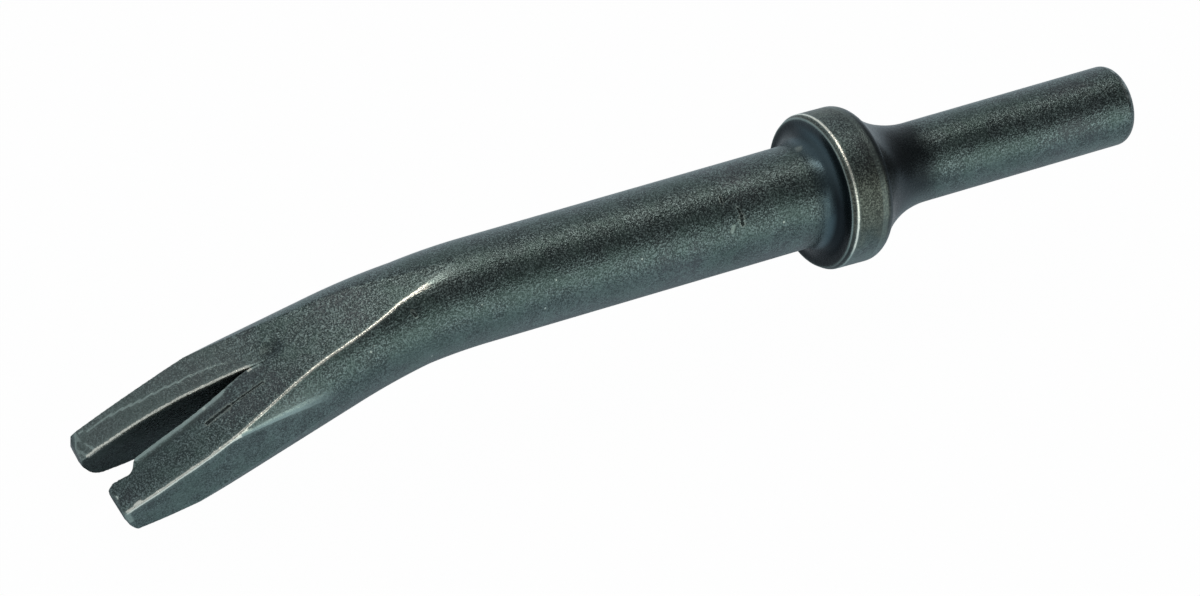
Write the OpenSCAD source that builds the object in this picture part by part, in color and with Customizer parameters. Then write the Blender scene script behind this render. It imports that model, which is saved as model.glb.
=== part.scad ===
// Slotted claw bit for a hand-held air hammer, forged in one piece from round bar.
// The struck face is at the origin, and the bit runs along -X from there.
// The claw bends down towards -Z, and its slot lies on the plane Y = 0.
// The forging is drawn in its working sections, which meet face to face.
// All sizes are in millimetres.

/* [Shank] */
// Diameter of the plain shank, 0.401 in
shank_d = 10.19; // [9.6:0.01:10.8]
// Length of the plain shank from the struck face to the neck
shank_l = 30.6; // [24:0.2:40]
// Radius that rounds the rim of the struck face
end_round = 1.6; // [0.6:0.1:2.4]

/* [Neck and collar] */
// Radius of the hollow fillet that opens the shank out to the collar
neck_r = 12; // [9:0.5:16]
// Diameter of the collar that the hammer's spring retainer holds
collar_d = 19.8; // [18.4:0.1:22]
// Width of the collar's straight rim
rim_w = 4.2; // [3:0.1:7]
// Radius that rounds the collar's rear edge
rear_round = 1.8; // [0.6:0.1:2.2]
// Length of the chamfer on the collar's front edge
chamfer_l = 0.7; // [0.3:0.1:1.5]
// Height of the chamfer on the collar's front edge
chamfer_h = 0.4; // [0.1:0.1:0.6]
// Radius of the cove between the collar's front face and the body
cove_r = 2.2; // [1:0.1:2.4]

/* [Body] */
// Diameter of the round body
body_d = 13.16; // [12:0.01:14.4]
// Length of the straight body from the collar's front face to the bend
body_l = 49; // [30:1:80]

/* [Bend] */
// Radius of the bend, at the centre line
bend_r = 49; // [40:1:70]
// Angle that the claw is bent down by
bend_angle = 23.5; // [16:0.1:30]
// Length of bend, back from its end, over which the bar already spreads
spread_l = 11; // [6:0.5:13]

/* [Claw] */
// Length of the straight claw, from the bend to the nose
claw_l = 32.2; // [28:0.1:40]
// Diameter that the spread bar has grown to at the nose
claw_d = 17.8; // [16.6:0.1:19]
// Radius of the long arc that the top face is ground to
top_r = 98; // [85:1:130]
// Height of the top face above the centre line, where the bend ends
top_h = 6.1; // [5.7:0.05:6.3]
// Radius of the round underside, across the claw
under_r = 12; // [10:0.5:16]
// Depth of the underside below the centre line at the nose
under_h = 5.1; // [4:0.1:6]
// Angle at which the underside drops away from the nose
under_angle = 4.6; // [3:0.2:7]

/* [Side facets] */
// Distance from the claw's centre plane to each side facet at the nose
facet_w = 7.15; // [6.4:0.05:7.6]
// Angle that each facet leans in towards the top face
facet_lean = 9.7; // [6:0.1:14]
// Angle that each facet runs out by towards the bend
facet_taper = 0.6; // [0:0.1:2]

/* [Nose] */
// Length of the chamfer at the top of the nose
nose_l = 0.6; // [0.2:0.1:1]
// Height of the chamfer at the top of the nose
nose_h = 1.2; // [0.6:0.1:1.6]
// Height of the flat nose face below the chamfer
face_h = 1.3; // [0.8:0.1:2]
// Length of the bevel under the nose face
bevel_l = 1.5; // [0.8:0.1:2.4]
// Height of the bevel under the nose face
bevel_h = 2.8; // [2:0.1:3.5]

/* [Slot] */
// Length of the slot from the nose to its root
slot_l = 23.3; // [18:0.1:25]
// Radius of the slot's root
root_r = 0.35; // [0.2:0.05:0.6]
// Length, from the nose, at which the slot's long V starts
throat_l = 11.3; // [8:0.1:14]
// Half width of the slot there
throat_w = 1.9; // [1.4:0.05:2.2]
// Length of the flared mouth
mouth_l = 4.9; // [3:0.1:6]
// Half width of the slot where the mouth starts
mouth_w = 2.15; // [2.05:0.05:2.6]
// Half width of the slot at the nose
mouth_end = 2.85; // [2.3:0.05:3.4]
// Solid length between the slot's root and the claw's root section
web_l = 1.2; // [0.6:0.1:2]

/* [Slot bevels] */
// Distance from the centre plane to the outer edge of each bevel at the nose
strip_w = 6.1; // [5:0.1:6.4]
// Distance from the nose to the place where the two bevels meet
strip_l = 27; // [25:0.5:29]
// Angle that each bevel leans towards the slot
strip_lean = 10; // [6:0.5:14]
// Radius of the long arc that each bevel is ground to
strip_r = 120; // [100:5:140]

/* [Hidden] */
$fn = 96;
// Steel with a dark oxide skin, and the lighter forged flats
DARK = [0.27, 0.28, 0.27];
MID = [0.33, 0.34, 0.33];
LIGHT = [0.42, 0.43, 0.41];
shank_r = shank_d / 2;
collar_r = collar_d / 2;
body_r = body_d / 2;
claw_r = claw_d / 2;
// Angle at which the neck's hollow fillet meets the collar's rear rounding
neck_angle = acos(1 - (collar_r - shank_r) / (neck_r + rear_round));
// Stations along the shank's axis, measured from the struck face
neck_end = shank_l + neck_r * sin(neck_angle);
rim_start = neck_end + rear_round * sin(neck_angle);
collar_front = rim_start + rim_w + chamfer_l;
cove_end = collar_front + cove_r;
bend_start = collar_front + body_l;
// Angle of bend over which the bar keeps its diameter
plain_angle = bend_angle - spread_l / bend_r * 180 / PI;
// Growth of the bar's radius for each millimetre of centre line
spread = (claw_r - body_r) / (spread_l + claw_l);
// Height of the top face at the nose, and at the place where the slot bevels meet
nose_top = top_h - top_r + sqrt(top_r * top_r - claw_l * claw_l);
strip_top = top_h - top_r + sqrt(top_r * top_r - (claw_l - strip_l) * (claw_l - strip_l));
// Direction and rise of the outer edge of each slot bevel
strip_yaw = atan(strip_w / strip_l);
strip_plan = sqrt(strip_l * strip_l + strip_w * strip_w);
strip_pitch = atan((strip_top - nose_top) / strip_plan);
strip_chord = strip_plan / cos(strip_pitch);
// Reach of the cutting solids past the part
over = 30;
// Rings and points of the spreading bend
RINGS = 9;
POINTS = 64;

// Radius of the spread bar at a distance back from the nose, on the centre line
function bar_r(back) = claw_r - spread * back;

// Point of the bend at an angle of bend, at a place across and a height above the centre line
function bend_point(angle, across, height) = [
    -bend_start - (bend_r + height) * sin(angle),
    across,
    (bend_r + height) * cos(angle) - bend_r
];

// Turns a profile about the shank's axis; its first number is the radius, and its second runs to the struck face
module turned() {
    rotate([0, 90, 0]) rotate_extrude() children();
}

// Block of a profile between two stations and two radii
module band(from, to, inner, outer) {
    translate([inner, -to]) square([outer - inner, to - from]);
}

// Places a shape in the claw's own frame: X runs back from the nose, Z up from the centre line
module claw_frame() {
    translate(bend_point(bend_angle, 0, 0)) rotate([0, -bend_angle, 0]) translate([-claw_l, 0, 0]) children();
}

// Long drum whose surface is the ground top face
module top_drum() {
    translate([claw_l, 0, top_h - top_r]) rotate([90, 0, 0])
        cylinder(r = top_r, h = 2 * over, center = true, $fn = 360);
}

// Drum whose lower surface is the round underside
module under_drum() {
    translate([0, 0, under_r - under_h]) rotate([0, 90 + under_angle, 0])
        cylinder(r = under_r, h = 4 * over, center = true, $fn = 180);
}

// Side profile that cuts the nose
module nose_cut() {
    chamfer_foot = nose_top - nose_h;
    face_foot = chamfer_foot - face_h;
    rotate([90, 0, 0]) linear_extrude(2 * over, center = true)
        polygon([
            [-over, over],
            [3 * nose_l, over],
            [3 * nose_l, chamfer_foot + 3 * nose_h],
            [0, chamfer_foot],
            [0, face_foot],
            [bevel_l, face_foot - bevel_h],
            [bevel_l, -over],
            [-over, -over]
        ]);
}

// Solid outside one side facet; side is 1 for the left and -1 for the right
module facet_cut(side) {
    translate([0, side * facet_w, 0]) rotate([side * facet_lean, 0, side * facet_taper])
        translate([-over, side > 0 ? 0 : -over, -over]) cube([4 * over, over, 2 * over]);
}

// Solid above one slot bevel; the bevel is an arc along a chord that runs from the nose to the meeting place
module strip_cut(side) {
    translate([0, side * strip_w, nose_top])
        rotate([side * strip_lean, -strip_pitch, -side * strip_yaw]) difference() {
            translate([-over, side > 0 ? -over : 0, -over / 2]) cube([2 * over + strip_chord, over, over]);
            translate([strip_chord / 2, 0, -sqrt(strip_r * strip_r - strip_chord * strip_chord / 4)])
                rotate([90, 0, 0]) cylinder(r = strip_r, h = 4 * over, center = true, $fn = 360);
        }
}

// Slot from the nose to its root, seen along the claw's height
module slot_cut() {
    root = slot_l - root_r;
    linear_extrude(2 * over, center = true) {
        polygon([
            [-1, mouth_end], [0, mouth_end], [mouth_l, mouth_w], [throat_l, throat_w], [root, root_r],
            [root, -root_r], [throat_l, -throat_w], [mouth_l, -mouth_w], [0, -mouth_end], [-1, -mouth_end]
        ]);
        translate([root, 0]) circle(r = root_r, $fn = 48);
    }
}

// Straight claw without its slot, between two distances back from the nose
module claw_bar(from, to) {
    intersection() {
        translate([from, 0, 0]) rotate([0, 90, 0])
            cylinder(r1 = bar_r(from), r2 = bar_r(to), h = to - from, $fn = 180);
        top_drum();
        under_drum();
    }
}

// Spreading part of the bend: a ring of points for each step of the angle
module spread_bend() {
    points = [
        for (i = [0:RINGS], j = [0:POINTS - 1])
            let (part = i / RINGS, turn = 360 * j / POINTS)
            let (angle = plain_angle + part * (bend_angle - plain_angle))
            let (r = body_r + spread * spread_l * part)
            bend_point(angle, r * cos(turn), r * sin(turn))
    ];
    sides = [
        for (i = [0:RINGS - 1], j = [0:POINTS - 1])
            let (k = (j + 1) % POINTS, a = i * POINTS, b = (i + 1) * POINTS)
            each [[a + j, a + k, b + k], [a + j, b + k, b + j]]
    ];
    first = [for (j = [POINTS - 1:-1:0]) j];
    last = [for (j = [0:POINTS - 1]) RINGS * POINTS + j];
    polyhedron(points, concat(sides, [first, last]));
}

// Plain part of the bend: the bar swept round the centre of the bend
module plain_bend() {
    translate([-bend_start, 0, -bend_r]) rotate([90, 0, 0]) rotate([0, 0, 90])
        rotate_extrude(angle = plain_angle, $fn = 360) translate([bend_r, 0]) circle(r = body_r);
}

module shank() {
    color(MID) turned() {
        band(end_round, shank_l, 0, shank_r);
        band(0, end_round, 0, shank_r - end_round);
        intersection() {
            translate([shank_r - end_round, -end_round]) circle(r = end_round);
            band(0, end_round, shank_r - end_round, shank_r);
        }
    }
}

module neck() {
    color(DARK) turned() difference() {
        band(shank_l, neck_end, 0, shank_r + neck_r * (1 - cos(neck_angle)));
        translate([shank_r + neck_r, -shank_l]) circle(r = neck_r, $fn = 240);
    }
}

module collar() {
    round_r = collar_r - rear_round;
    color(DARK) turned() difference() {
        polygon([
            [0, -neck_end], [collar_r, -neck_end], [collar_r, -rim_start - rim_w],
            [collar_r - chamfer_h, -collar_front], [body_r + cove_r, -collar_front],
            [body_r + cove_r, -cove_end], [0, -cove_end]
        ]);
        difference() {
            band(shank_l, rim_start, round_r, over);
            translate([round_r, -rim_start]) circle(r = rear_round);
        }
        translate([body_r + cove_r, -cove_end]) circle(r = cove_r);
    }
}

module body() {
    color(MID) turned() band(cove_end, bend_start, 0, body_r);
}

module bend() {
    color(MID) intersection() {
        union() {
            plain_bend();
            spread_bend();
        }
        claw_frame() top_drum();
    }
}

module claw_root() {
    color(LIGHT) claw_frame() difference() {
        claw_bar(slot_l + web_l, claw_l);
        for (side = [-1, 1]) {
            facet_cut(side);
            intersection() {
                strip_cut(side);
                translate([0, side > 0 ? 0 : -over, -over]) cube([claw_l, over, 2 * over]);
            }
        }
    }
}

// One tine of the claw; side is 1 for the left and -1 for the right
module tine(side) {
    color(LIGHT) claw_frame() difference() {
        claw_bar(-1, slot_l + web_l);
        facet_cut(side);
        strip_cut(side);
        slot_cut();
        nose_cut();
        translate([-over, side > 0 ? -over : 0, -over]) cube([4 * over, over, 2 * over]);
    }
}

module left_tine() {
    tine(1);
}

module right_tine() {
    tine(-1);
}

shank();
neck();
collar();
body();
bend();
claw_root();
left_tine();
right_tine();
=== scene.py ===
# %% [markdown]
# Dressing a forged claw bit.
# The bit is one steel forging, drawn by the CAD in eight sections that meet face to face. Each
# section gets a fine mesh of its own here, and all of them share one steel.

from math import acos, cos, degrees, exp, pi, radians, sin, sqrt, tan

import bmesh
import bpy
from mathutils import Matrix, Vector
from mathutils.kdtree import KDTree


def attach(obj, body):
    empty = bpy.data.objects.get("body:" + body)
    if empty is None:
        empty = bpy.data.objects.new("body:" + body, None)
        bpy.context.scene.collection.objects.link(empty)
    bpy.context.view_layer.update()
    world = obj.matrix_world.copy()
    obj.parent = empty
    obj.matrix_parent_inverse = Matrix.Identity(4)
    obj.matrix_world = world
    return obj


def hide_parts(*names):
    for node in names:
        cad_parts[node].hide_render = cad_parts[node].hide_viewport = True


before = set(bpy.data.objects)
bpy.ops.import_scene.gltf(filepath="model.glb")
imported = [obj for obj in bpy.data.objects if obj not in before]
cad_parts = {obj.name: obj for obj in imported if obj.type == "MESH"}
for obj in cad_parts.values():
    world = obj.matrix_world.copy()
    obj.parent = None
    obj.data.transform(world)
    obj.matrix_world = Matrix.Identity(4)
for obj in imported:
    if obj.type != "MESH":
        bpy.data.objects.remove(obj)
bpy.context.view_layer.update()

# %% [markdown]
# The photograph was taken with a long lens from above the near side, with the claw towards the lower
# left. A camera could be found by turning it until the picture looks right, but here its place and
# its three axes come from a fit of the shank, the collar and the claw to their outlines. The lens
# stays without shift.

# %% Camera
image_wide, image_high = 1200, 596
camera_data = bpy.data.cameras.new("photo_camera")
camera_data.sensor_width = 36.0
camera_data.lens = 357.48
camera_data.clip_start = 0.1
camera_data.clip_end = 20.0
camera = bpy.data.objects.new("photo_camera", camera_data)
right = Vector((0.84725, -0.48268, 0.22179))
up = Vector((0.24854, 0.72921, 0.63757))
back = Vector((-0.46947, -0.48505, 0.73778))
camera.matrix_world = Matrix((
    (right.x, up.x, back.x, -0.76539),
    (right.y, up.y, back.y, -0.71409),
    (right.z, up.z, back.z, 1.07661),
    (0.0, 0.0, 0.0, 1.0)))
bpy.context.scene.collection.objects.link(camera)
bpy.context.scene.camera = camera
bpy.context.scene.view_settings.view_transform = "Standard"
print("camera for a picture of", image_wide, "by", image_high)

# %% [markdown]
# These are the sizes of the forging, in millimetres, the same ones that the solids are drawn with. A
# station is a distance from the struck face along the shank's axis.

# %% Sizes
shank_r, end_round, shank_l = 5.095, 1.6, 30.6
neck_r, collar_r, rear_round, rim_w = 12.0, 9.9, 1.8, 4.2
chamfer_l, chamfer_h, cove_r = 0.7, 0.4, 2.2
body_r, body_l = 6.58, 49.0
bend_r, bend_angle, spread_l = 49.0, radians(23.5), 11.0
claw_l, claw_r, top_r, top_h = 32.2, 8.9, 98.0, 6.1
neck_angle = acos(1 - (collar_r - shank_r) / (neck_r + rear_round))
neck_end = shank_l + neck_r * sin(neck_angle)
rim_start = neck_end + rear_round * sin(neck_angle)
collar_front = rim_start + rim_w + chamfer_l
cove_end = collar_front + cove_r
bend_start = collar_front + body_l
print("stations:", [round(station, 2) for station in (neck_end, rim_start, collar_front, bend_start)])

# %% [markdown]
# Every piece ends the same way. Its doubled points are merged, in the order of their places so that
# each run merges them alike, and slivers that a cut has left hanging on an edge are taken out. Its
# faces are turned outwards, it is scaled from millimetres to metres, and it is handed to the frame in
# place of its CAD node. Edges that really are sharp, such as the rims of the faces where two sections
# meet, are marked so that the smooth shading stops there and the joint can't be seen.

# %% Finish a piece
pieces = {}


def merge_doubles(bm, gap, shortest):
    """Merges doubled points and takes out edges without length, in the order of their places."""
    verts = sorted(bm.verts, key=lambda vert: vert.co[:])
    bmesh.ops.remove_doubles(bm, verts=verts, dist=gap)
    edges = sorted(bm.edges, key=lambda edge: (edge.verts[0].co + edge.verts[1].co)[:])
    bmesh.ops.dissolve_degenerate(bm, edges=edges, dist=shortest)


def finish_piece(bm, node, crisp=40.0):
    """Hands a modelled section to the frame as the dressed piece of that CAD node."""
    merge_doubles(bm, 0.002, 0.001)
    slivers = [face for face in bm.faces if any(len(edge.link_faces) > 2 for edge in face.edges)
               and any(len(edge.link_faces) == 1 for edge in face.edges)]
    bmesh.ops.delete(bm, geom=slivers, context="FACES")
    bmesh.ops.recalc_face_normals(bm, faces=bm.faces[:])
    for face in bm.faces:
        face.smooth = True
    for edge in bm.edges:
        edge.smooth = len(edge.link_faces) == 2 and edge.calc_face_angle(0.0) < radians(crisp)
    open_edges = sum(1 for edge in bm.edges if len(edge.link_faces) != 2)
    bmesh.ops.scale(bm, vec=(0.001, 0.001, 0.001), verts=bm.verts[:])
    mesh = bpy.data.meshes.new(node + "_steel")
    bm.to_mesh(mesh)
    bm.free()
    piece = bpy.data.objects.new(node + "_steel", mesh)
    bpy.context.scene.collection.objects.link(piece)
    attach(piece, "root")
    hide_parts(node)
    pieces[node] = piece
    print(node, "has", len(mesh.polygons), "faces and", open_edges, "open edges")


print("finishing ready")

# %% [markdown]
# The shank, neck, collar and body are turned shapes, as if made on a lathe. A profile starts as one
# point on the axis. It is drawn out along straight lines, and spun round a centre for each arc. The
# finished profile is then spun a full turn about the shank's axis.

# %% Lathe
def start_profile(station, radius):
    bm = bmesh.new()
    return bm, bm.verts.new((-station, 0.0, radius))


def draw_line(bm, tip, station, radius, parts=1):
    """Draws the profile on to a new place, in equal parts."""
    step = (Vector((-station, 0.0, radius)) - tip.co) / parts
    for _ in range(parts):
        new = bmesh.ops.extrude_vert_indiv(bm, verts=[tip])["verts"]
        bmesh.ops.translate(bm, vec=step, verts=new)
        tip = new[0]
    return tip


def draw_arc(bm, tip, station, radius, angle, parts=16):
    """Spins the tip round a centre; a positive angle turns it from the axis towards the claw."""
    swept = bmesh.ops.spin(bm, geom=[tip], cent=(-station, 0.0, radius), axis=(0.0, 1.0, 0.0),
                           angle=angle, steps=parts)
    return [part for part in swept["geom_last"] if isinstance(part, bmesh.types.BMVert)][0]


def spin_profile(bm, turns=224):
    bmesh.ops.spin(bm, geom=bm.verts[:] + bm.edges[:], cent=(0.0, 0.0, 0.0), axis=(1.0, 0.0, 0.0),
                   angle=2 * pi, steps=turns, use_merge=True)
    bmesh.ops.remove_doubles(bm, verts=bm.verts[:], dist=0.0005)


print("lathe ready")

# %% [markdown]
# On the real bit the collar sits a little out of square and off centre, as drop forgings often do
# where the two dies meet. The collar could be turned as a whole, but that would open a step against
# the neck. Instead every point is pushed by its place, and the push fades out along the neck and the
# cove.

# %% Collar tilt
collar_tilt = radians(1.3)
collar_drop = Vector((0.0, -0.07, -0.065))
tilt_side = Vector((0.0, 0.35, 0.94)).normalized()


def fade(value, low, high):
    """Rises smoothly from 0 at low to 1 at high."""
    t = min(1.0, max(0.0, (value - low) / (high - low)))
    return t * t * (3 - 2 * t)


def tilt_collar(bm):
    for vert in bm.verts:
        station = -vert.co.x
        share = fade(station, neck_end - 6.0, rim_start) * (1 - fade(station, collar_front, cove_end))
        lean = tan(collar_tilt) * share
        forward = lean * vert.co.dot(tilt_side)
        vert.co -= tilt_side * lean * (collar_front - station) - collar_drop * share
        vert.co.x += forward


print("the collar's rim leans by", round(2 * collar_r * tan(collar_tilt), 2), "mm across")

# %% [markdown]
# The shank is the plain round end that goes into the hammer. The hammer's piston strikes its flat
# face, so the rim of the face is well rounded to keep it from chipping.

# %% Shank
bm, tip = start_profile(0.0, 0.0)
tip = draw_line(bm, tip, 0.0, shank_r - end_round, 6)
tip = draw_arc(bm, tip, end_round, shank_r - end_round, -pi / 2, 14)
tip = draw_line(bm, tip, shank_l, shank_r, 40)
tip = draw_line(bm, tip, shank_l, 0.0)
spin_profile(bm)
finish_piece(bm, "shank")

# %% [markdown]
# The neck carries the blow from the thin shank out to the collar in one hollow curve, because a sharp
# corner there would crack. The curve ends where the rounding of the collar takes over.

# %% Neck
bm, tip = start_profile(shank_l, 0.0)
tip = draw_line(bm, tip, shank_l, shank_r)
tip = draw_arc(bm, tip, shank_l, shank_r + neck_r, neck_angle, 28)
tip = draw_line(bm, tip, neck_end, 0.0)
spin_profile(bm)
tilt_collar(bm)
finish_piece(bm, "neck")

# %% [markdown]
# The collar is what the hammer's spring retainer holds. Its rear edge is well rounded, its front edge
# has a narrow chamfer, and a small cove joins it to the body. The rim is left plain. The two corners
# of the chamfer are rounded on the profile, before it is spun. Every point also keeps its distance to
# the nearest worn corner, and how worn that corner is, for the steel to read later. The wear is
# weaker on the underside.

# %% Collar
corners = (
    (collar_front - chamfer_l, collar_r, 1.0),
    (collar_front, collar_r - chamfer_h, 0.45),
    (rim_start + 0.15, collar_r, 0.14))


def note_wear(bm, measure):
    """Keeps each point's distance to a worn edge, that edge's wear and width, and the skin's tone."""
    names = ("edge_mm", "edge_wear", "edge_width", "tone")
    layers = [bm.verts.layers.float.new(name) for name in names]
    for vert in bm.verts:
        for layer, value in zip(layers, measure(vert.co)):
            vert[layer] = value


def near_corner(co):
    station, radius = -co.x, sqrt(co.y ** 2 + co.z ** 2)
    gaps = [(sqrt((station - s) ** 2 + (radius - r) ** 2), wear) for s, r, wear in corners]
    gap, wear = min(gaps)
    width = 0.15 if wear > 0.2 else 0.40
    return gap, wear * (0.45 + 0.55 * fade(co.z, -5.0, 4.0)), width, 0.0


bm, tip = start_profile(neck_end, 0.0)
tip = draw_line(bm, tip, neck_end, collar_r - rear_round * (1 - cos(neck_angle)))
tip = draw_arc(bm, tip, rim_start, collar_r - rear_round, -neck_angle, 12)
tip = draw_line(bm, tip, rim_start + rim_w - 0.6, collar_r, 18)
tip = draw_line(bm, tip, rim_start + rim_w, collar_r, 5)
rim_corner = tip
tip = draw_line(bm, tip, collar_front, collar_r - chamfer_h, 6)
face_corner = tip
tip = draw_line(bm, tip, collar_front, collar_r - chamfer_h - 0.5, 4)
tip = draw_line(bm, tip, collar_front, body_r + cove_r, 3)
tip = draw_arc(bm, tip, cove_end, body_r + cove_r, pi / 2, 20)
tip = draw_line(bm, tip, cove_end, 0.0)
bmesh.ops.bevel(bm, geom=[rim_corner, face_corner], offset=0.09, offset_type="OFFSET", segments=3,
                profile=0.5, affect="VERTICES", material=-1)
spin_profile(bm, 288)
note_wear(bm, near_corner)
tilt_collar(bm)
finish_piece(bm, "collar", 24.0)

# %% [markdown]
# The body is plain round bar, as it came from the mill. It swells by a hair towards the bend, where
# the bar was upset by the bending.

# %% Body
swell = 0.05
bm, tip = start_profile(cove_end, 0.0)
tip = draw_line(bm, tip, cove_end, body_r)
tip = draw_line(bm, tip, bend_start, body_r + swell, 90)
tip = draw_line(bm, tip, bend_start, 0.0)
spin_profile(bm)
finish_piece(bm, "body")

# %% [markdown]
# The smith spreads the end of the bar, presses its flats, cuts the slot and bends it last. The same
# order works well on a mesh, because every cut is simple while the bar is straight. A straight tube
# of rings is made first. Its X is the distance along the centre line past the start of the bend, Y is
# across, and Z is the height above the centre line.

# %% Straight bar
bend_l = bend_r * bend_angle
bar_l = bend_l + claw_l
ring_points, ring_step = 184, 0.22
start_r = body_r + swell
spread = (claw_r - start_r) / (spread_l + claw_l)


def bar_radius(along):
    return start_r + spread * max(0.0, along - (bend_l - spread_l))


def straight_bar(start, end):
    """Tube of rings between two places along the centre line, open at both ends."""
    bm = bmesh.new()
    rings = round((end - start) / ring_step)
    upright = Matrix.Translation((start, 0, 0)) @ Matrix.Rotation(pi / 2, 4, "Y")
    first = bmesh.ops.create_circle(bm, segments=ring_points, radius=1.0, matrix=upright)
    bmesh.ops.spin(bm, geom=first["verts"] + bm.edges[:], cent=(0, 0, 0), axis=(1, 0, 0), angle=0.0,
                   dvec=((end - start) / rings, 0.0, 0.0), steps=rings)
    for vert in bm.verts:
        vert.co.y *= bar_radius(vert.co.x)
        vert.co.z *= bar_radius(vert.co.x)
    return bm


print("the bent part is", round(bend_l, 2), "mm of a bar of", round(bar_l, 2), "mm")

# %% [markdown]
# A flat is pressed in three moves. The bar is shifted so that the wanted surface lies on a plane, a
# cut along that plane gives the flat a true edge, and everything beyond the plane is moved down onto
# it. The shift is then undone. A boolean with a large drum would also do it, but it leaves long thin
# faces.

# %% Press
def press(bm, axis, level, beyond):
    """Presses what lies above a level, or for a beyond of -1 below it, onto it, along axis 1 or 2."""
    normal = Vector((0.0, 0.0, 0.0))
    normal[axis] = 1.0
    for vert in bm.verts:
        vert.co[axis] -= level(vert.co)
    bmesh.ops.bisect_plane(bm, geom=bm.verts[:] + bm.edges[:] + bm.faces[:], dist=0.0005,
                           plane_co=(0.0, 0.0, 0.0), plane_no=normal)
    for vert in bm.verts:
        if vert.co[axis] * beyond > 0.0:
            vert.co[axis] = 0.0
    for vert in bm.verts:
        vert.co[axis] += level(vert.co)


def cut_off(bm, along, keep):
    """Saws the bar square and keeps the part towards the nose, or for a keep of -1 the other one."""
    bmesh.ops.bisect_plane(bm, geom=bm.verts[:] + bm.edges[:] + bm.faces[:], dist=0.0005,
                           plane_co=(along, 0.0, 0.0), plane_no=(keep, 0.0, 0.0), clear_inner=True)


print("press and saw ready")

# %% [markdown]
# The top face is ground to one long arc, which runs out into the round bar on the bend, where the
# wheel was lifted slowly. It also rolls off a little towards the near edge. The underside stays round
# but much flatter than the bar, and a flat on each side leans in towards the top. The near one was
# ground less at the nose. A distance back from the nose is called q.

# %% Flats of the claw
under_r, under_h, under_angle = 12.0, 5.1, radians(4.6)
facet_w, facet_lean, facet_taper = 7.15, radians(9.7), radians(0.6)
drum_drop = top_h - top_r + bend_r
run_out_l, run_out_h = 19.0, 1.0
near_roll = 0.05
near_facet = [(-3.0, 6.1), (0.7, 6.38), (2.5, 6.7), (5.2, 7.1), (8.1, 7.33), (12.4, 7.64),
              (16.5, 7.5), (27.0, 7.35)]


def between(table, place):
    """Reads a value from pairs of place and value, on straight lines between them."""
    if place <= table[0][0]:
        return table[0][1]
    for (a, va), (b, vb) in zip(table, table[1:]):
        if place <= b:
            return va + (vb - va) * (place - a) / (b - a)
    return table[-1][1]


def along_curve(table, place, reach=0.5):
    """The same, with the corners of the line rounded off over a reach."""
    return sum(between(table, place + reach * share) for share in (-0.8, -0.4, 0.0, 0.4, 0.8)) / 5


def top_level(co):
    """Height of the top face over the centre line, also where that line is bent."""
    past_bend = co.x - bend_l
    roll = near_roll * max(0.0, -co.y) * (1 - 0.7 * fade(bar_l - co.x, 20.0, 31.0))
    if past_bend >= 0.0:
        return top_h - top_r + sqrt(top_r ** 2 - past_bend ** 2) - roll
    turn = -past_bend / bend_r
    drum = drum_drop * cos(turn) + sqrt(top_r ** 2 - (drum_drop * sin(turn)) ** 2) - bend_r
    run = min(1.0, -past_bend / run_out_l)
    lifted = bar_radius(co.x) - run_out_h * (1 - run) ** 2 + 0.02 * run ** 2
    blend = 0.03 * exp(-abs(drum - lifted) / 0.06)
    return min(drum, lifted) - (blend + roll) * (1 - run)


def under_level(co):
    q = bar_l - co.x
    return under_r - sqrt(max(0.0, under_r ** 2 - co.y ** 2)) - under_h - tan(under_angle) * q


def far_side_level(co):
    return facet_w + tan(facet_taper) * (bar_l - co.x) - tan(facet_lean) * co.z


def near_side_level(co):
    return tan(facet_lean) * co.z - along_curve(near_facet, bar_l - co.x, 1.5)


def press_flats(bm):
    press(bm, 2, top_level, 1)
    press(bm, 2, under_level, -1)
    press(bm, 1, far_side_level, 1)
    press(bm, 1, near_side_level, -1)


print("top face at the nose:", round(top_level(Vector((bar_l, 0.0, 0.0))), 2), "mm above the middle")

# %% [markdown]
# The slot was ground by hand, a little to the far side of the middle. Its far wall runs nearly
# straight to the nose. The near wall comes in parallel and then steps back to a small rounded notch.
# The tables give each wall's distance from the middle against q, and the bevels' outer edges. The
# bevels beside the slot start where they meet, a little behind the slot's root.

# %% Slot and bevels
web_end = 24.5
slot_wall = {
    1: [(-3.0, 3.6), (0.4, 3.38), (2.2, 3.27), (5.0, 3.02), (7.8, 2.8), (10.5, 2.47), (13.3, 2.15),
        (15.9, 1.68), (18.5, 1.22), (21.1, 0.68), (23.0, 0.18), (23.6, 0.0)],
    -1: [(-3.0, 3.0), (-0.1, 2.7), (0.1, 2.35), (0.5, 1.92), (1.1, 1.74), (1.9, 1.86), (3.0, 2.14),
         (3.6, 2.14), (4.0, 1.9), (4.3, 1.4), (4.55, 0.95), (5.1, 0.78), (7.2, 0.76), (11.6, 0.74),
         (13.1, 0.64), (14.6, 0.54), (16.1, 0.38), (17.6, 0.16), (19.2, -0.1), (20.8, -0.28),
         (22.3, -0.26), (23.2, -0.12), (23.6, 0.0)]}
bevel_edge = {
    1: [(-3.0, 6.5), (0.4, 6.2), (2.3, 6.1), (5.9, 5.7), (9.0, 4.95), (11.7, 4.55), (14.3, 4.05),
        (17.0, 3.6), (19.4, 2.9), (20.9, 2.35), (22.6, 1.7), (25.9, 0.35), (27.0, 0.0)],
    -1: [(-3.0, 4.0), (5.3, 3.65), (15.6, 3.1), (22.4, 2.1), (25.9, 0.4), (27.0, 0.0)]}
bevel_lean = radians(9.0)


def wall_at(side, q):
    return along_curve(slot_wall[side], q, 0.3)


def edge_at(side, q):
    return along_curve(bevel_edge[side], q, 1.0)


def bevel_level(co):
    """Height of the bevels, each a plane that leans into the slot from its outer edge."""
    side = 1 if co.y >= 0.0 else -1
    q = bar_l - co.x
    drop = tan(bevel_lean) * max(0.0, edge_at(side, q) - abs(co.y)) * (1 - fade(q, 16.0, 27.0))
    return top_level(co) - drop


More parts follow.
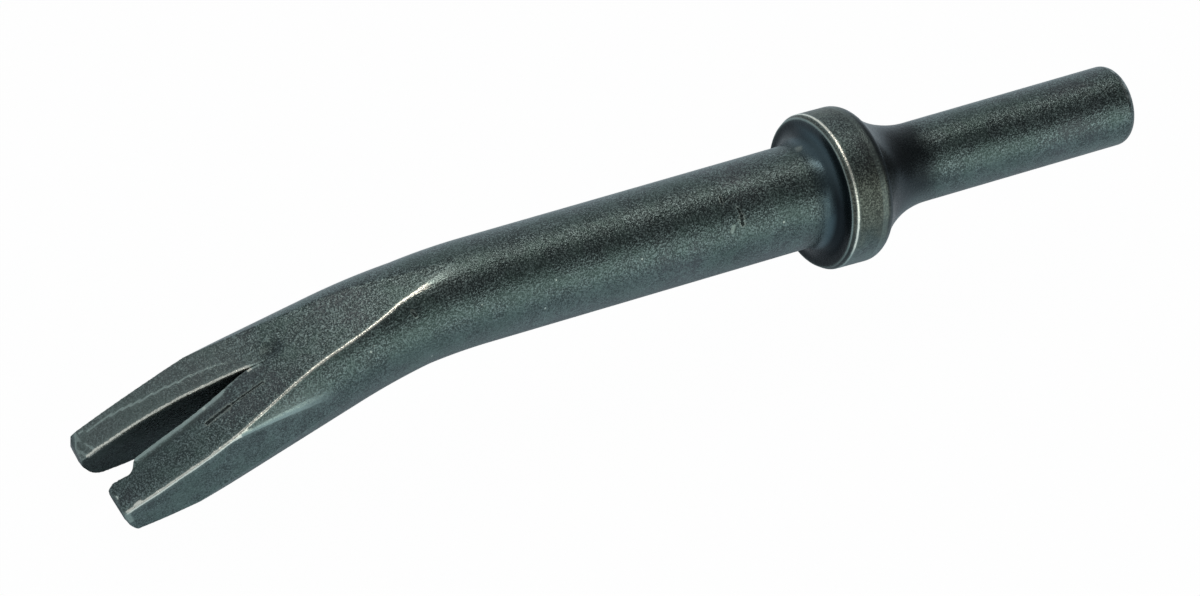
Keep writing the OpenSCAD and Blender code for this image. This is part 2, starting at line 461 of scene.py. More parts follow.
def press_bevels(bm):
    bmesh.ops.bisect_plane(bm, geom=bm.verts[:] + bm.edges[:] + bm.faces[:], dist=0.0005,
                           plane_co=(0.0, 0.0, 0.0), plane_no=(0.0, 1.0, 0.0))
    low = bar_l - 27.0
    press(bm, 2, lambda co: bevel_level(co) if co.x > low else top_level(co), 1)


print("slot at 10 mm from the nose:", round(wall_at(1, 10.0) + wall_at(-1, 10.0), 2), "mm wide")

# %% [markdown]
# The nose isn't cut square. Its outline is read from the side, once for each tine, because the far
# one leans forward at mid height, and its outer corner is rounded in plan. The open end of the tine
# is shifted until its outline is a plane, cut there, filled with one face, and cut again at each
# fold, so that the folds keep true edges.

# %% Nose
nose_line = {
    1: [(-9.0, 5.0), (-4.9, 2.0), (-4.3, 0.75), (-3.5, 0.0), (-1.0, -0.85), (0.3, -0.5), (0.75, 0.25),
        (4.0, 1.6)],
    -1: [(-9.0, 5.5), (-4.6, 2.2), (-3.6, 1.0), (-2.4, 0.45), (-0.9, 0.2), (0.2, 0.1), (0.7, 0.45),
         (4.0, 1.8)]}
corner_at = {1: 6.3, -1: 6.0}


def nose_shift(side, co):
    corner = max(0.0, abs(co.y) - corner_at[side])
    return between(nose_line[side], co.z) + 0.55 * corner ** 2


def cut_nose(bm, side):
    for vert in bm.verts:
        vert.co.x += nose_shift(side, vert.co)
    cut_off(bm, bar_l, -1)
    rim = [edge for edge in bm.edges
           if edge.is_boundary and all(vert.co.x > bar_l - 0.01 for vert in edge.verts)]
    face = bmesh.ops.holes_fill(bm, edges=rim, sides=0)["faces"]
    folds = [((0.0, 0.0, height), (0.0, 0.0, 1.0)) for height, _ in nose_line[side][1:-1]]
    folds += [((0.0, side * (corner_at[side] + 0.3 * step), 0.0), (0.0, 1.0, 0.0)) for step in range(6)]
    for place, normal in folds:
        geom = face + [e for f in face for e in f.edges] + [v for f in face for v in f.verts]
        bmesh.ops.bisect_plane(bm, geom=list(dict.fromkeys(geom)), dist=0.0005, plane_co=place,
                               plane_no=normal)
        face = [f for f in bm.faces if all(v.co.x > bar_l - 0.001 for v in f.verts)]
    for vert in bm.verts:
        vert.co.x -= nose_shift(side, vert.co)


print("folds on the noses:", len(nose_line[1]) - 2, "and", len(nose_line[-1]) - 2)

# %% [markdown]
# Use and polishing have taken the bite off every ridge. A bevel would need room that the small faces
# beside a ridge don't have, so the points on the ridges are relaxed towards their neighbours instead.
# The ridges are noted first: each point of the mesh keeps its distance to the nearest one, how worn
# that one is and how wide the wear is, for the steel to read later.

# %% Ridges
ridge_fold, top_fold = radians(11.0), radians(4.5)


def sharp_edges(bm):
    """Edges that fold enough to be a ridge; at the level of the top face a slight fold is one."""
    for edge in bm.edges:
        if len(edge.link_faces) == 2 and edge.calc_length() > 0.01:
            fold, place = edge.calc_face_angle(0.0), edge.verts[0].co
            if fold > ridge_fold or fold > top_fold and top_level(place) - place.z < 0.12:
                yield edge


def ridge_wear(place):
    """How bright a ridge is worn, and how wide, by where it lies on the claw."""
    q, y, depth = bar_l - place.x, place.y, top_level(place) - place.z
    side = 1 if y >= 0 else -1
    wall, edge = wall_at(side, q), edge_at(side, q)
    # The edges of the slot, bright on the far side and dull on the near one
    if (0.2 if side > 0 else 4.6) < q < 23.6 and depth < 1.6 and abs(y - side * wall) < 0.25:
        bright = side > 0 or q > 20.5
        return (1.0 - 0.7 * fade(q, 21.5, 23.5), 0.30) if bright else (0.60, 0.55)
    # The outer edges of the bevels, of which only the far one shows
    if q < 27.5 and abs(y) < edge + 0.4 and depth < 1.2 and q > 0.7:
        return (0.48 * (1 - fade(q, 17.0, 23.0)), 0.12) if side > 0 else (0.0, 0.1)
    # The long edges of the top face, of which the near one is worn and widens where it runs out
    if depth < 0.3 and q > 0.5:
        if side > 0 or y > -3.5 and q < 20.0:
            return 0.0, 0.1
        worn = 0.86 + 0.14 * fade(q, 13.0, 18.0) - fade(q, 42.5, 49.0)
        return worn, 0.28 - 0.10 * fade(q, 15.0, 18.5) + 0.45 * fade(q, 41.0, 49.0)
    # The ridge where the near side flat runs out into the round bar
    if depth < 4.5 and 16.0 < q < 32.0 and side < 0:
        return 0.62 * (1 - fade(q, 23.0, 31.0)), 0.30 + 0.40 * fade(q, 18.0, 29.0)
    # The folds of the nose
    if q < 2.5 and depth < 1.3:
        return (0.34, 0.14) if side > 0 else (0.12, 0.18)
    return 0.06, 0.1


def find_ridges(bm):
    found = []
    for edge in sharp_edges(bm):
        for share in (0.0, 0.5, 1.0):
            place = edge.verts[0].co.lerp(edge.verts[1].co, share)
            found.append((place, ridge_wear(place)))
    return sorted(found, key=lambda spot: spot[0][:])


def relax_ridges(bm, rounds=2):
    for _ in range(rounds):
        soft = {vert for edge in sharp_edges(bm) for vert in edge.verts if not vert.is_boundary}
        bmesh.ops.smooth_vert(bm, verts=list(soft), factor=0.5, use_axis_x=True, use_axis_y=True,
                              use_axis_z=True)


print("a ridge folds by", round(degrees(ridge_fold)), "degrees or more")

# %% [markdown]
# The skin's tone is worked out for each point too, and most of it is painted light. The strip along the
# far side of the slot is a painted highlight, the round part of the near side is paler, the near side
# of the slot and the walls of the slot are darkened with painted shade, and the dent behind it is
# darker.

# %% Tone of the skin
def dent_place(q, y):
    """Distance from the middle of the dent behind the slot, as a share of its reach."""
    return sqrt(((q - 25.6) / 1.8) ** 2 + ((y - 0.9) / 1.4) ** 2)


def tone_with_painted_light(co):
    """Above 0 where the skin is pale, and below 0 where it is dark."""
    q, depth = bar_l - co.x, top_level(co) - co.z
    side = 1 if co.y > 0.0 else -1
    dent = dent_place(q, co.y)
    if dent < 1.1 and depth < 1.0:
        return -0.50 * (1 - fade(dent, 0.55, 1.1))
    # The round part of the near side, over its flat
    if side < 0 and 0.3 < depth < 5.0 and co.y > near_side_level(co) + 0.03:
        paler_band = fade(depth, 0.3, 0.8) * (1 - fade(depth, 3.0, 5.0))
        return 0.40 * paler_band * fade(q, 15.0, 17.0) * (1 - fade(q, 22.0, 32.0))
    if q > 27.0:
        return 0.0
    # The walls of the slot, darkened with painted shade
    if q < 23.5 and depth > 0.3 and abs(side * co.y - wall_at(side, q)) < 0.02:
        return -0.34
    if depth > 1.4:
        return 0.0
    # The strip along the far side of the slot, a painted highlight of the overhead strip
    if side > 0:
        on_bevel = fade(edge_at(1, q) - co.y, -0.15, 0.15)
        on_strip = fade(co.y - wall_at(1, q), -0.3, 0.0) * (1 - fade(q, 19.0, 26.0))
        return (0.56 + 0.10 * on_bevel) * on_strip
    # The near side of the slot, darkened with painted shade, most in a streak beside it
    from_slot = -co.y - wall_at(-1, q)
    painted_shade_streak = (1 - fade(from_slot, 0.9, 1.9)) * fade(from_slot, 0.25, 0.6)
    painted_shade_streak *= fade(q, 4.5, 6.5) * (1 - fade(q, 15.0, 19.0))
    return -0.7 * painted_shade_streak - (0.12 + 0.2 * (1 - fade(q, 3.0, 12.0))) * (1 - fade(-co.y, 4.5, 6.0))


def note_ridges(bm, ridges):
    """Keeps the nearest ridge's distance, wear and width, and the skin's tone, on each point."""
    tree = KDTree(len(ridges))
    for index, (place, _) in enumerate(ridges):
        tree.insert(place, index)
    tree.balance()

    def measure(co):
        _, index, gap = tree.find(co)
        return (gap,) + ridges[index][1] + (tone_with_painted_light(co),)

    note_wear(bm, measure)


spot = Vector((bar_l - 8.0, 4.0, 0.0))
spot.z = top_level(spot)
print("the strip's tone is", round(tone_with_painted_light(spot), 2))

# %% [markdown]
# Last of all the straight work is bent. Past the start of the bend each point turns about the centre
# of the bend, and past its end it follows the straight line of the claw.

# %% Bend
def bend_bar(bm):
    for vert in bm.verts:
        along, height = vert.co.x, vert.co.z
        turn = min(along, bend_l) / bend_r
        past = max(0.0, along - bend_l)
        vert.co.x = -bend_start - (bend_r + height) * sin(turn) - past * cos(turn)
        vert.co.z = (bend_r + height) * cos(turn) - bend_r - past * sin(turn)


def close_ends(bm):
    """Fills the open ends, which are flat."""
    rim = [edge for edge in bm.edges if edge.is_boundary]
    bmesh.ops.holes_fill(bm, edges=rim, sides=0)


print("the bend turns by", round(degrees(bend_angle), 1), "degrees")

# %% [markdown]
# The bend and the root of the claw are sawn from one pressed bar, so that their ridges run on without
# a step. The dent at the place where the bevels meet is pushed in with a soft round tool.

# %% Bend and claw root
web_at, root_at = bar_l - web_end, bend_l


def push_dent(bm):
    for vert in bm.verts:
        far = dent_place(bar_l - vert.co.x, vert.co.y)
        if vert.co.z > 3.0 and far < 1.0:
            vert.co.z -= 0.24 * (1 - far * far) ** 2


bm = straight_bar(0.0, web_at + 3.0)
press_flats(bm)
press_bevels(bm)
merge_doubles(bm, 0.012, 0.003)
ridges = find_ridges(bm)
relax_ridges(bm)
push_dent(bm)
note_ridges(bm, ridges)
root = bm.copy()
cut_off(bm, root_at, -1)
close_ends(bm)
bend_bar(bm)
finish_piece(bm, "bend", 50.0)
cut_off(root, root_at, 1)
cut_off(root, web_at, -1)
close_ends(root)
bend_bar(root)
finish_piece(root, "claw_root", 50.0)

# %% [markdown]
# Each tine starts as a length of the same bar. The wall of the slot is pressed first, then the flats,
# the bevel and the nose.

# %% Tines
for side, node in ((1, "left_tine"), (-1, "right_tine")):
    bm = straight_bar(web_at - 3.0, bar_l + 2.4)
    press(bm, 1, lambda co: side * wall_at(side, bar_l - co.x), -side)
    press_flats(bm)
    press_bevels(bm)
    merge_doubles(bm, 0.012, 0.003)
    cut_nose(bm, side)
    ridges = find_ridges(bm)
    relax_ridges(bm)
    push_dent(bm)
    note_ridges(bm, ridges)
    cut_off(bm, web_at, 1)
    close_ends(bm)
    bend_bar(bm)
    finish_piece(bm, node, 50.0)

# %% [markdown]
# A finish is a tree of small nodes. Written out link by link it is hard to read, so a value on a wire
# is wrapped in a class that knows arithmetic: 1 - mask or wear * 0.4 adds the Math node it stands
# for. Every other node is made by one method, which takes its type, its settings and the values of
# its sockets.

# %% Shader values
class Wire:
    """A number, place or colour that varies over the surface."""

    def __init__(self, finish, socket):
        self.finish, self.socket = finish, socket

    def math(self, operation, first, second):
        return self.finish.node("ShaderNodeMath", {"operation": operation}, {0: first, 1: second})

    def __add__(self, other):
        return self.math("ADD", self, other)

    __radd__ = __add__

    def __sub__(self, other):
        return self.math("SUBTRACT", self, other)

    def __rsub__(self, other):
        return self.math("SUBTRACT", other, self)

    def __mul__(self, other):
        return self.math("MULTIPLY", self, other)

    __rmul__ = __mul__

    def __truediv__(self, other):
        return self.math("DIVIDE", self, other)

    def at_least(self, other):
        return self.math("MAXIMUM", self, other)

    def within(self, low, high):
        return self.math("MINIMUM", self.at_least(low), high)

    def ramp(self, low, high):
        """Rises smoothly from 0 at low to 1 at high; low may be the larger of the two."""
        return self.finish.node("ShaderNodeMapRange", {"interpolation_type": "SMOOTHSTEP"},
                                {"Value": self, "From Min": low, "From Max": high})


class Finish:
    """The nodes of one material or of the world."""

    def __init__(self, owner):
        owner.use_nodes = True
        self.tree = owner.node_tree
        self.tree.nodes.clear()

    def node(self, kind, settings=None, values=None, out=0):
        """Adds a node, makes its settings, sets or links its sockets, and returns an output."""
        made = self.tree.nodes.new(kind)
        for name, value in (settings or {}).items():
            setattr(made, name, value)
        for name, value in (values or {}).items():
            if isinstance(value, Wire):
                self.tree.links.new(value.socket, made.inputs[name])
            else:
                made.inputs[name].default_value = value
        return Wire(self, made.outputs[out]) if made.outputs else None

    def mix(self, share, first, second):
        return self.node("ShaderNodeMix", {"data_type": "RGBA"}, {0: share, 6: first, 7: second}, 2)

    def grain(self, place, size, detail=2.0, rough=0.5):
        """Noise whose blotches are about that many millimetres across."""
        return self.node("ShaderNodeTexNoise", {}, {
            "Vector": place, "Scale": 1000.0 / size, "Detail": detail, "Roughness": rough})

    def attribute(self, name):
        return self.node("ShaderNodeAttribute", {"attribute_name": name}, {}, "Fac")


print("shader helpers ready")

# %% [markdown]
# The bit has a few small marks from use: nicks whose bottoms are dark and whose rims are bright, fine
# scratches, and some bright dots where something hard has touched. They could be
# modelled, but they are a fifth of a millimetre deep at most, so they are drawn as strokes between
# two points on the skin, which colour it and push its bump. All the points are in millimetres, in the
# part's own frame.

# %% Marks
body_nicks = (
    ((-60.00, -3.15, 5.78), (-59.80, -4.00, 5.22), 0.15),
    ((-59.80, -4.00, 5.22), (-59.90, -4.75, 4.56), 0.22),
    ((-61.71, -1.25, 6.46), (-61.80, -2.00, 6.26), 0.13))
cove_nick = (((-47.75, 2.95, 6.35), (-48.15, 2.45, 6.75), 0.30),)
bend_nicks = (
    ((-106.70, -3.60, 4.55), (-106.45, -4.05, 4.20), 0.16),
    ((-121.15, -6.05, -2.35), (-120.80, -6.25, -2.75), 0.16))
# A dark line along the near side of the slot, drawn as nicks; its dark is painted shade.
painted_shade_line = (
    ((-125.50, -2.35, -2.85), (-130.20, -2.62, -5.65), 0.12),
    ((-129.80, -2.60, -5.45), (-132.60, -2.90, -7.25), 0.21))
body_scratches = (
    ((-82.92, 0.26, 6.57), (-82.98, -1.71, 6.35), 0.08),
    ((-82.98, -1.71, 6.35), (-82.80, -4.10, 5.15), 0.08),
    ((-84.37, -0.26, 6.57), (-83.95, -4.34, 4.95), 0.07),
    ((-61.20, -4.70, 4.60), (-61.55, -5.10, 4.15), 0.35),
    ((-60.45, -4.20, 5.05), (-60.40, -4.60, 4.70), 0.12))
corner_blow = (((-143.60, -6.35, -16.30), (-142.90, -6.70, -17.50), 0.50),)
body_dots = (
    (-88.70, -6.41, 1.50, 0.20), (-87.00, -4.86, 4.43, 0.16), (-74.68, -5.19, 4.05, 0.18),
    (-54.04, -5.52, 3.59, 0.20))
bend_dots = (
    (-112.40, -5.10, 2.10, 0.20), (-112.92, -5.40, 1.45, 0.20), (-97.65, -5.15, 4.21, 0.16),
    (-104.30, -6.55, -1.30, 0.20))
slot_dot = ((-132.05, -0.75, -6.95, 0.42),)
print(len(body_nicks) + len(bend_nicks) + 1, "nicks and", len(body_dots) + len(bend_dots) + 1, "dots")

# %% [markdown]
# The whole bit has one skin: a dark grey-green phosphate coat on steel that was forged and tumbled. A
# coat is built up in steps here, as it was on the real bit, so a small class holds what the steps
# share. It has the patterns, from a fine grain to broad patches, and the masks of the collar's rim,
# of its front face and of the sleek neck and cove. All of them read Object coordinates, which are the
# same for all eight pieces, so that no joint between two sections shows.

# %% Coat
class Coat:
    """A steel as far as it is built up: patterns and masks, and its colour, roughness and relief."""

    def __init__(self, skin):
        self.skin = skin
        self.place = skin.node("ShaderNodeTexCoord", {}, {}, "Object")
        self.station = skin.node("ShaderNodeSeparateXYZ", {}, {0: self.place}, "X") * -1000
        self.height = skin.node("ShaderNodeSeparateXYZ", {}, {0: self.place}, "Z") * 1000
        across = skin.node("ShaderNodeVectorMath", {"operation": "MULTIPLY"},
                           {0: self.place, 1: (0.0, 1.0, 1.0)})
        self.from_axis = skin.node("ShaderNodeVectorMath", {"operation": "LENGTH"}, {0: across},
                                   "Value") * 1000
        self.fine = skin.grain(self.place, 0.19, 1.0, 0.5)
        self.speck = skin.grain(self.place, 0.36, 2.0, 0.6)
        self.patch = skin.grain(self.place, 2.6, 3.0, 0.6)
        self.broad = skin.grain(self.place, 9.0, 2.0, 0.5)
        station, from_axis = self.station, self.from_axis
        self.rim = from_axis.ramp(9.25, 9.45) * station.ramp(40.0, 41.0) * station.ramp(46.2, 45.6)
        self.face = from_axis.ramp(6.72, 7.35) * station.ramp(45.0, 45.6) * station.ramp(48.2, 47.3)
        self.sleek = station.ramp(31.0, 38.0) * station.ramp(49.5, 46.8) * (1 - self.rim)
        self.grainy = 1 - self.sleek * 0.75

    def paint(self, share, colour):
        """Lays a colour over a share of what is there."""
        self.colour = self.skin.mix(share, self.colour, colour)

    def gap_to_stroke(self, start, end):
        """Distance in millimetres from the place on the skin to a straight stroke."""
        start, end = Vector(start) / 1000, Vector(end) / 1000
        along = end - start
        from_start = self.skin.node("ShaderNodeVectorMath", {"operation": "SUBTRACT"},
                                    {0: self.place, 1: start})
        share = self.skin.node("ShaderNodeVectorMath", {"operation": "DOT_PRODUCT"},
                               {0: from_start, 1: along / along.length_squared}, "Value")
        foot = self.skin.node("ShaderNodeVectorMath", {"operation": "SCALE"},
                              {0: along, "Scale": share.within(0.0, 1.0)})
        return self.skin.node("ShaderNodeVectorMath", {"operation": "DISTANCE"},
                              {0: from_start, 1: foot}, "Value") * 1000


print("the coat has four grains, from 0.19 to 9 mm")

# %% [markdown]
# Close up the coat is a fine sparkling grain, with patches that lean to green or to grey. Most of the
# grain is in the colour, and on faces that look up it is made stronger as a painted glint. A strong
# fine bump would look like it from near, but from the camera its facets are smaller than a pixel, and
# they would spread the lamps' reflections until the bands along the bar are gone.

# %% Phosphate
def lay_phosphate(coat):
    fine, speck, patch, broad = coat.fine, coat.speck, coat.patch, coat.broad
    normal = coat.skin.node("ShaderNodeNewGeometry", {}, {}, "Normal")
    facing_up = coat.skin.node("ShaderNodeSeparateXYZ", {}, {0: normal}, "Z")
    # Painted glint: the grain's colour contrast grows on faces that look up, towards the overhead
    # strip.
    painted_glint_share = coat.grainy * (facing_up.ramp(0.22, 0.66) * 0.62 + 0.38)
    tint = ((fine - 0.5) * 3.6 + (speck - 0.5) * 1.7) * painted_glint_share + (patch - 0.5) * 0.7 + 0.23
    coat.tint = tint.within(0.0, 1.0)
    coat.colour = coat.skin.mix(coat.tint, (0.052, 0.068, 0.066, 1.0), (0.262, 0.330, 0.320, 1.0))
    green = (broad * 0.45 + patch * 0.55).ramp(0.46, 0.62) * 0.40 * coat.grainy
    coat.paint(green, (0.080, 0.124, 0.106, 1.0))
    grey = (broad * 0.5 + speck * 0.2 + patch * 0.3).ramp(0.47, 0.36) * 0.5 * coat.grainy
    coat.paint(grey, (0.092, 0.096, 0.104, 1.0))
    uneven = (fine - 0.5) * 0.30 + (patch - 0.5) * 0.14
    coat.rough = 0.31 + uneven - coat.sleek * 0.03 + coat.rim * 0.06
    coat.relief = (fine * 0.045 + speck * 0.055) * coat.grainy + patch * 0.05 + broad * 0.04


print("phosphate ready")

# %% [markdown]
# The neck, the cove and the collar's front face are smoother and bluer than the rest, and the underside
# of the neck has a painted reflection, lighter and bluer. The collar's front face and the cove towards
# it are darkened with painted shade, most on their lower part and towards the rim, and painted shade
# makes the upper half of the neck nearly black. The collar's rim is browner towards its top.

# %% Neck and collar colours
def colour_neck_and_collar(coat):
    station, height, face = coat.station, coat.height, coat.face
    blue_finish_and_reflection = coat.skin.mix(station.ramp(44.0, 42.0), (0.060, 0.094, 0.112, 1.0),
                          (0.086, 0.126, 0.142, 1.0))
    # Painted reflection of the floor: the underside of the neck and the collar's rear rounding are
    # lighter and bluer.
    painted_reflection_low_neck = station.ramp(43.5, 41.5) * height.ramp(1.0, -5.0)
    blue_finish_and_reflection = coat.skin.mix(painted_reflection_low_neck, blue_finish_and_reflection, (0.100, 0.172, 0.202, 1.0))
    coat.paint(coat.sleek * 0.8, blue_finish_and_reflection)
    # Painted shade: the front face goes nearly black on its lower part and towards the rim.
    painted_shade_face = face * height.ramp(9.0, 4.0) * 0.95
    painted_shade_face = painted_shade_face.at_least(face * coat.from_axis.ramp(7.3, 8.7) * 0.7)
    coat.paint(painted_shade_face, (0.010, 0.013, 0.016, 1.0))
    # Painted shade: the upper half of the neck, up to the collar's rear, is made nearly black.
    painted_shade_neck = station.ramp(28.5, 32.5) * station.ramp(43.5, 40.0) * height.ramp(-2.5, 2.5)
    coat.paint(painted_shade_neck * 0.88, (0.015, 0.018, 0.021, 1.0))
    brown = coat.rim * (height + (coat.patch - 0.5) * 9.0).ramp(-2.0, 5.0)
    olive = coat.skin.mix(coat.tint, (0.050, 0.050, 0.041, 1.0), (0.245, 0.255, 0.200, 1.0))
    coat.paint(brown * height.ramp(10.2, 7.5) * 0.75, olive)


print("neck and collar colours ready")

# %% [markdown]
# On the ridges the coat has worn through to bright, slightly brassy metal, with a haze beside it. A
# plain threshold on the distance would draw a line as if with a ruler, so the distance is first made
# ragged with the grain and with streaks that run along the edge. The noted tone, mostly painted
# highlight and painted shade, is laid on before it. The struck end is done differently: its rounded rim
# has bright spots, partly wear where the piston has hit it and partly a painted highlight.

# %% Worn edges
def wear_edges(coat):
    skin, speck, fine = coat.skin, coat.speck, coat.fine
    edge_mm, wear = skin.attribute("edge_mm"), skin.attribute("edge_wear")
    width, tone = skin.attribute("edge_width"), skin.attribute("tone")
    along_edge = skin.node("ShaderNodeCombineXYZ", {},
                           {"X": coat.station * 0.00013, "Y": edge_mm * 0.001})
    streak = skin.grain(along_edge, 0.16, 2.0, 0.6)
    pale, dark = tone.within(0.0, 1.0), tone.within(-1.0, 0.0)
    # The noted tone is laid on: its pale share is mostly a painted highlight, its dark share mostly
    # painted shade.
    coat.paint(pale * (0.7 + (speck - 0.5) * 0.9), (0.185, 0.212, 0.200, 1.0))
    coat.paint(dark * (-0.9 + (streak - 0.5) * 1.6), (0.022, 0.030, 0.031, 1.0))
    ragged = (speck - 0.5) * 0.26 + (fine - 0.5) * 0.26 + (streak - 0.5) * 0.40
    gap = (edge_mm + ragged * (width * 2.0 + 0.12)) / width
    uneven = (coat.patch * 0.5 + speck * 0.5).ramp(0.32, 0.52) * 0.25 + 0.75
    bright = gap.ramp(1.2, 0.7) * wear * uneven
    bare = skin.mix(wear.ramp(0.62, 0.85), (0.46, 0.56, 0.52, 1.0), (1.0, 0.98, 0.86, 1.0))
    coat.paint(gap.ramp(3.4, 0.5) * wear * 0.35, (0.30, 0.36, 0.33, 1.0))
    coat.paint(bright, bare)
    coat.rough = coat.rough - bright * 0.10
    coat.relief = coat.relief + (streak - 0.5) * dark * 0.06


def struck_end_wear_and_highlight(coat):
    # Bright streaks on the struck end's rounded rim: partly wear, partly a painted highlight.
    rounded = coat.station.ramp(0.15, 0.4) * (coat.station + (coat.speck - 0.5) * 1.2).ramp(1.5, 0.9)
    coat.paint(rounded * coat.patch.ramp(0.46, 0.58) * 0.6, (0.70, 0.76, 0.72, 1.0))


print("wear ready")

# %% [markdown]
# A nick is drawn in two rings round its stroke: a pit darkened with painted shade, and a brighter lip
# where the metal was pushed up. A scratch is one bright line, and a dot is bright too.

# %% Draw the marks
def draw_nick(coat, start, end, width):
    gap = coat.gap_to_stroke(start, end) + (coat.speck - 0.5) * 0.34
    lip = gap.ramp(width * 2.4, width * 1.5) * gap.ramp(width * 0.7, width * 1.3)
    coat.paint(lip * 0.45, (0.34, 0.38, 0.34, 1.0))
    # Painted shade: the pit of the nick is made nearly black.
    painted_shade_pit = gap.ramp(width * 1.1, width * 0.6)
    coat.paint(painted_shade_pit * 0.8, (0.014, 0.017, 0.016, 1.0))
    coat.relief = coat.relief - painted_shade_pit * 0.08 + lip * 0.03


def draw_scratch(coat, start, end, width):
    gap = coat.gap_to_stroke(start, end) + (coat.speck - 0.5) * 0.10
    coat.paint(gap.ramp(width, width * 0.4) * 0.45, (0.42, 0.50, 0.45, 1.0))


def draw_dot(coat, x, y, z, reach):
    gap = coat.skin.node("ShaderNodeVectorMath", {"operation": "DISTANCE"},
                         {0: coat.place, 1: Vector((x, y, z)) / 1000}, "Value") * 1000
    gap = gap + (coat.fine - 0.5) * 0.2
    coat.paint(gap.ramp(reach, reach * 0.4) * 0.6, (0.70, 0.76, 0.68, 1.0))


print("marks ready")

# %% [markdown]
# The recipe serves all eight pieces, and each steel only leaves out the steps that its pieces don't
# need. That keeps the number of nodes low.

# %% Steel
def steel(name, worn=False, struck=False, nicks=(), scratches=(), dots=()):
    material = bpy.data.materials.new(name)
    coat = Coat(Finish(material))
    lay_phosphate(coat)
    colour_neck_and_collar(coat)
    if struck:
        struck_end_wear_and_highlight(coat)
    if worn:
        wear_edges(coat)
    for nick in nicks:
        draw_nick(coat, *nick)
    for scratch in scratches:
        draw_scratch(coat, *scratch)
    for dot in dots:
        draw_dot(coat, *dot)
    bump = coat.skin.node("ShaderNodeBump", {},
                          {"Strength": 1.0, "Distance": 0.001, "Height": coat.relief})
    surface = coat.skin.node("ShaderNodeBsdfPrincipled", {}, {
        "Base Color": coat.colour, "Roughness": coat.rough.within(0.16, 0.8), "Metallic": 0.9,
        "Normal": bump})
    coat.skin.node("ShaderNodeOutputMaterial", {}, {"Surface": surface})
    return material


shank_steel = steel("shank_steel", struck=True)
bar_steel = steel("forged_phosphate_steel", nicks=body_nicks + cove_nick, scratches=body_scratches,
                  dots=body_dots)
collar_steel = steel("collar_worn_steel", worn=True, nicks=cove_nick)
bend_steel = steel("bend_worn_steel", worn=True, nicks=bend_nicks, dots=bend_dots)
claw_steel = steel("claw_ground_steel", worn=True, nicks=painted_shade_line, scratches=corner_blow, dots=slot_dot)
for node, material in (("shank", shank_steel), ("neck", bar_steel), ("collar", collar_steel),
                       ("body", bar_steel), ("bend", bend_steel), ("claw_root", claw_steel),
                       ("left_tine", claw_steel), ("right_tine", claw_steel)):
    pieces[node].data.materials.append(material)
print("steels:", len({piece.data.materials[0].name for piece in pieces.values()}))

# %% [markdown]
# The photograph has a plain white ground. The floor is pale and catches a soft shadow. For the camera
# it is nearly a plain white, by Light Path, so that no extra light has to fall on the bit.
# Reflections see the lit floor, in its shadow under the bit, and away from the bit a share of a pale
# blue glow, which is a painted reflection. Seen from below it is clear, so that the underside of the
# bit can be looked at.

# %% Floor
floor_z = -0.0217
bm = bmesh.new()
bmesh.ops.create_grid(bm, x_segments=8, y_segments=8, size=3.0)
bmesh.ops.translate(bm, vec=(-0.07, 0.0, floor_z), verts=bm.verts[:])
mesh = bpy.data.meshes.new("floor")
bm.to_mesh(mesh)
bm.free()
floor = bpy.data.objects.new("floor", mesh)
bpy.context.scene.collection.objects.link(floor)
paper = bpy.data.materials.new("pale_floor")
ground = Finish(paper)
seen = ground.node("ShaderNodeLightPath", {}, {}, "Is Camera Ray")
mirrored = ground.node("ShaderNodeLightPath", {}, {}, "Is Glossy Ray")
place = ground.node("ShaderNodeTexCoord", {}, {}, "Object")
across = ground.node("ShaderNodeSeparateXYZ", {}, {0: place}, "Y")
open_floor = across.ramp(-0.003, -0.011) * 0.46 + across.ramp(0.010, 0.040) * 0.35
matt = ground.node("ShaderNodeBsdfDiffuse", {}, {"Color": (0.82, 0.88, 0.95, 1.0)})
# Painted reflection: this glow is seen only in reflections, away from the bit, and brightens the bluish
# rims of the round bar.
painted_reflection_glow = ground.node("ShaderNodeEmission", {}, {"Color": (0.76, 0.92, 1.0, 1.0), "Strength": 1.1})
white = ground.node("ShaderNodeEmission", {}, {"Color": (1.0, 1.0, 1.0, 1.0), "Strength": 1.0})
lit = ground.node("ShaderNodeMixShader", {}, {0: mirrored * open_floor, 1: matt, 2: painted_reflection_glow})
lit = ground.node("ShaderNodeMixShader", {}, {0: seen * 0.985, 1: lit, 2: white})
below = ground.node("ShaderNodeNewGeometry", {}, {}, "Backfacing")
clear = ground.node("ShaderNodeBsdfTransparent")
lit = ground.node("ShaderNodeMixShader", {}, {0: below, 1: lit, 2: clear})
ground.node("ShaderNodeOutputMaterial", {}, {"Surface": lit})
mesh.materials.append(paper)
print("floor at", floor_z)

# %% [markdown]
# Three soft lamps do the work, and each is put where the steel mirrors it to the camera. A long warm
# strip hangs nearly overhead and gives the narrow upper band along the round bar and the bright strip
# beside the slot. A wide card low at the front fills the lower half of the bar, and a weaker one to
# its left reaches the bend and the claw. Between the strip and the cards the steel mirrors the dim
# room, which is the dark band along its middle.

# %% Lamps
centre = Vector((-0.075, 0.0, 0.0))


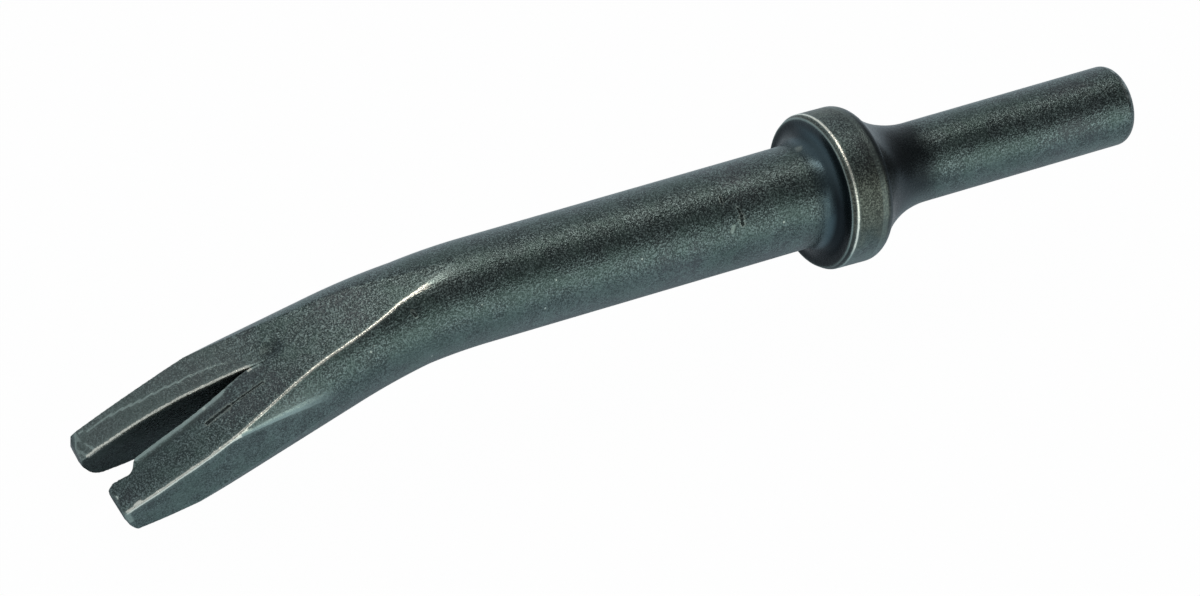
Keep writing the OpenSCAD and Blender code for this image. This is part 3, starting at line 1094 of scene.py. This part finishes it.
def soft_lamp(name, place, along, wide, high, level, colour):
    """Area lamp that faces the bit; its level is the brightness that a white mirror would show."""
    data = bpy.data.lights.new(name, "AREA")
    data.shape = "RECTANGLE"
    data.size, data.size_y = wide, high
    data.energy = level * pi * wide * high
    data.color = colour
    lamp = bpy.data.objects.new(name, data)
    away = (Vector(place) - centre).normalized()
    along = Vector(along)
    along = (along - away * along.dot(away)).normalized()
    across = away.cross(along)
    lamp.matrix_world = Matrix.Translation(place) @ Matrix((along, across, away)).transposed().to_4x4()
    bpy.context.scene.collection.objects.link(lamp)
    print(name, "gives", round(data.energy, 3), "W")


soft_lamp("overhead_strip", (-0.04, 0.175, 0.50), along=(0.56, 0.15, 0.0), wide=0.60, high=0.095,
          level=3.6, colour=(1.0, 0.97, 0.91))
soft_lamp("front_card", (0.17, -0.53, 0.18), along=(1.0, 0.1, 0.0), wide=0.75, high=0.44,
          level=0.98, colour=(0.90, 1.0, 0.97))
soft_lamp("left_card", (-0.22, -0.46, 0.25), along=(1.0, -0.1, -0.1), wide=0.30, high=0.46,
          level=0.42, colour=(0.92, 1.0, 0.98))

# %% [markdown]
# The room behind the camera is a dim bluish grey. It is brighter towards the back and the left, where
# the top of the claw looks, and darkest to the right, where the neck looks. The camera itself sees
# plain white.

# %% Room
dark_level, pale_level = 0.16, 0.62
world = bpy.data.worlds.new("room")
bpy.context.scene.world = world
room = Finish(world)
seen = room.node("ShaderNodeLightPath", {}, {}, "Is Camera Ray")
sky = room.node("ShaderNodeTexCoord", {}, {}, "Generated")
lean = room.node("ShaderNodeVectorMath", {"operation": "DOT_PRODUCT"}, {0: sky, 1: (-0.5, 0.7, -0.5)},
                 "Value")
dark = room.node("ShaderNodeBackground", {}, {"Color": (0.92, 0.96, 1.0, 1.0), "Strength": dark_level})
pale = room.node("ShaderNodeBackground", {}, {"Color": (0.88, 0.95, 1.0, 1.0), "Strength": pale_level})
dim = room.node("ShaderNodeMixShader", {}, {0: lean.ramp(-0.6, 0.5), 1: dark, 2: pale})
white = room.node("ShaderNodeBackground", {}, {"Color": (1.0, 1.0, 1.0, 1.0), "Strength": 1.0})
mixed = room.node("ShaderNodeMixShader", {}, {0: seen, 1: dim, 2: white})
room.node("ShaderNodeOutputWorld", {}, {"Surface": mixed})
print("room levels", dark_level, "to", pale_level)
